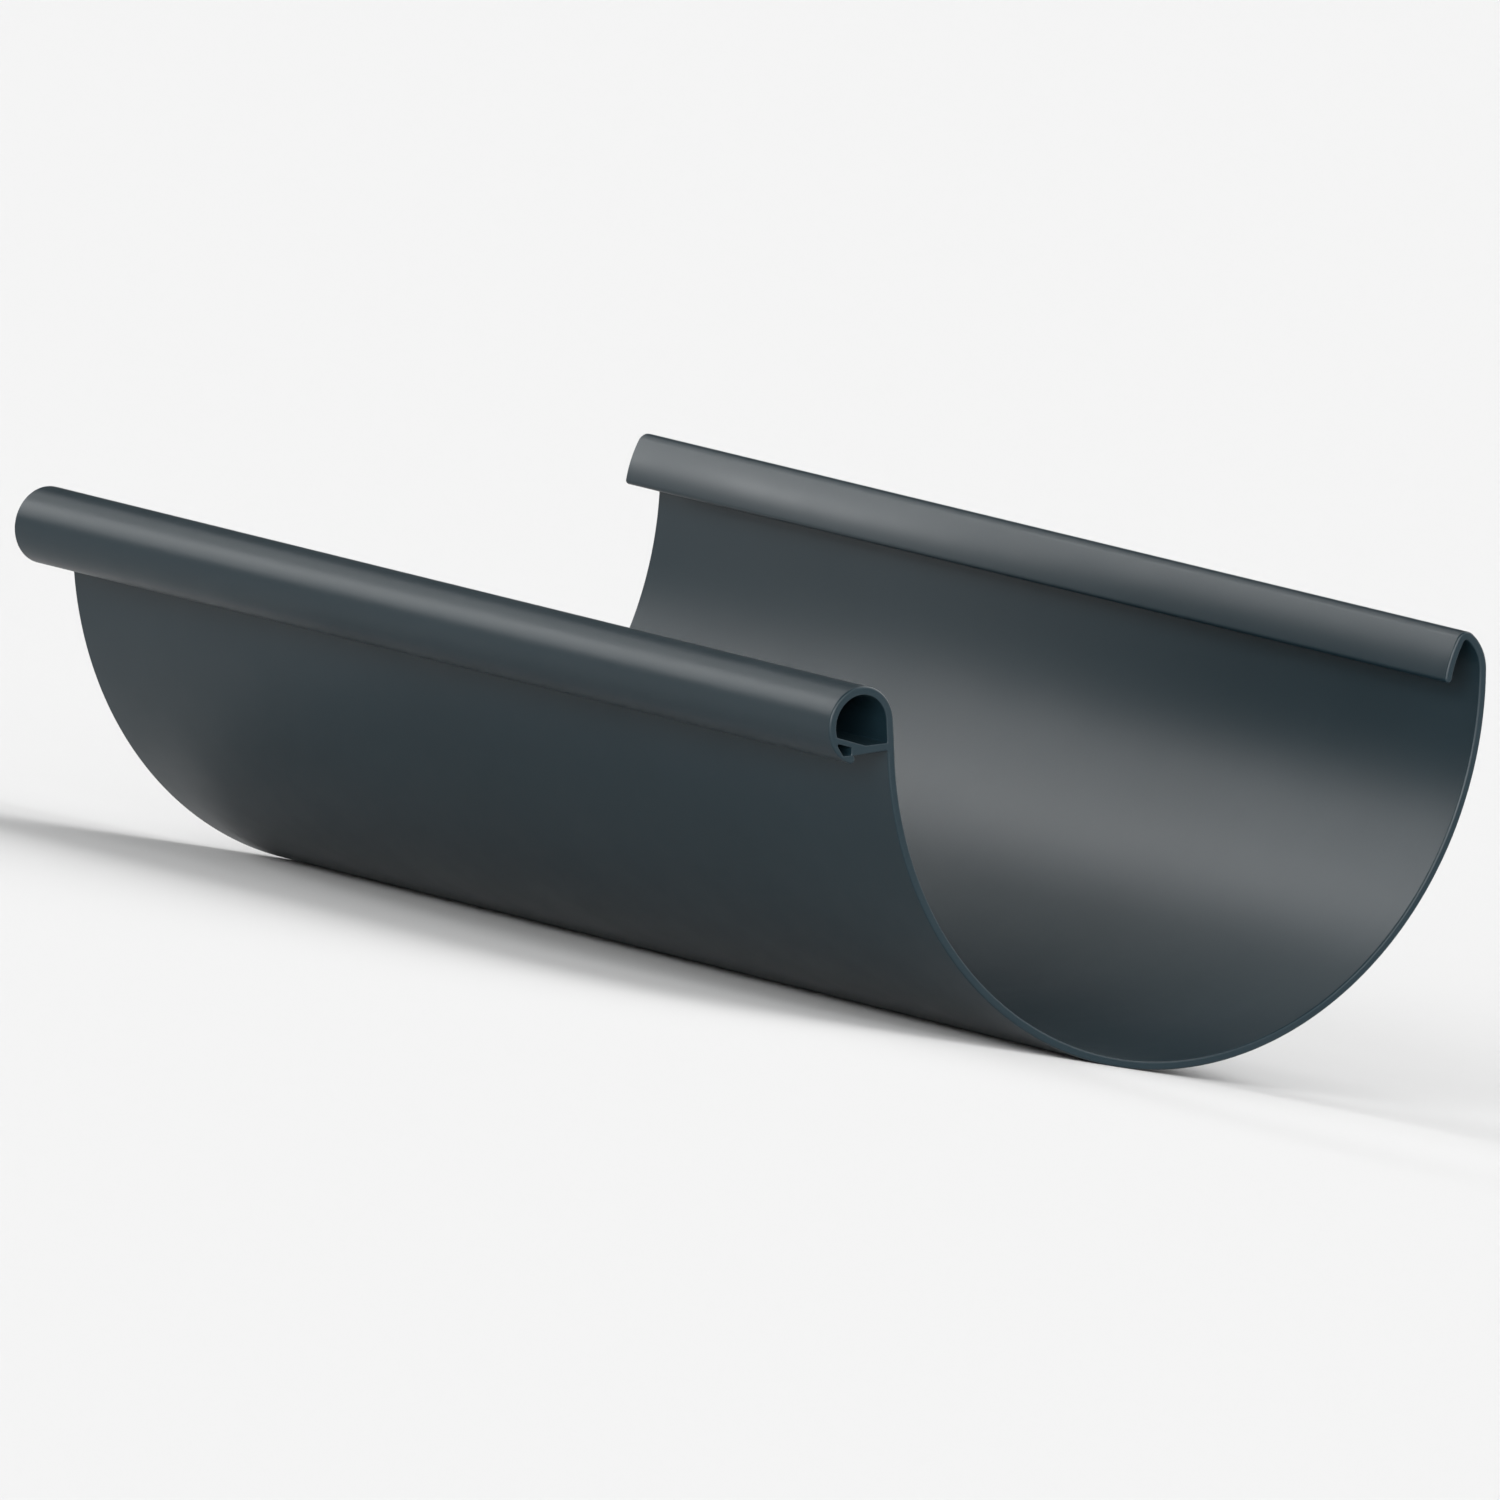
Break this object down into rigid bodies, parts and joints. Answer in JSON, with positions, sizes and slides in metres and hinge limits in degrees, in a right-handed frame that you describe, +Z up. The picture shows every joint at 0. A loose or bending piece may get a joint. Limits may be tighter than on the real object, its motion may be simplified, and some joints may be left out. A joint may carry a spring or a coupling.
{
  "type": "gutter section",
  "caption": "Short straight half-round rain gutter length with a round hollow bead along the front rim and a turned-in lip along the rear rim, cut square at both ends.",
  "frame": {"origin": "midway along the length, on the lowest line of the round body, where the piece rests on a level floor", "axes": "+X along the length, +Y across the channel from the front bead to the rear lip, +Z up. The section is turned 13.2 degrees about X from its level fitting position, because that is how it comes to rest"},
  "size_m": [0.285, 0.1633, 0.0982],
  "materials": {
    "coated_profile": "satin anthracite grey powder coat"
  },
  "bodies": {
    "root": {"gutter": "coated_profile"}
  },
  "joints": []
}
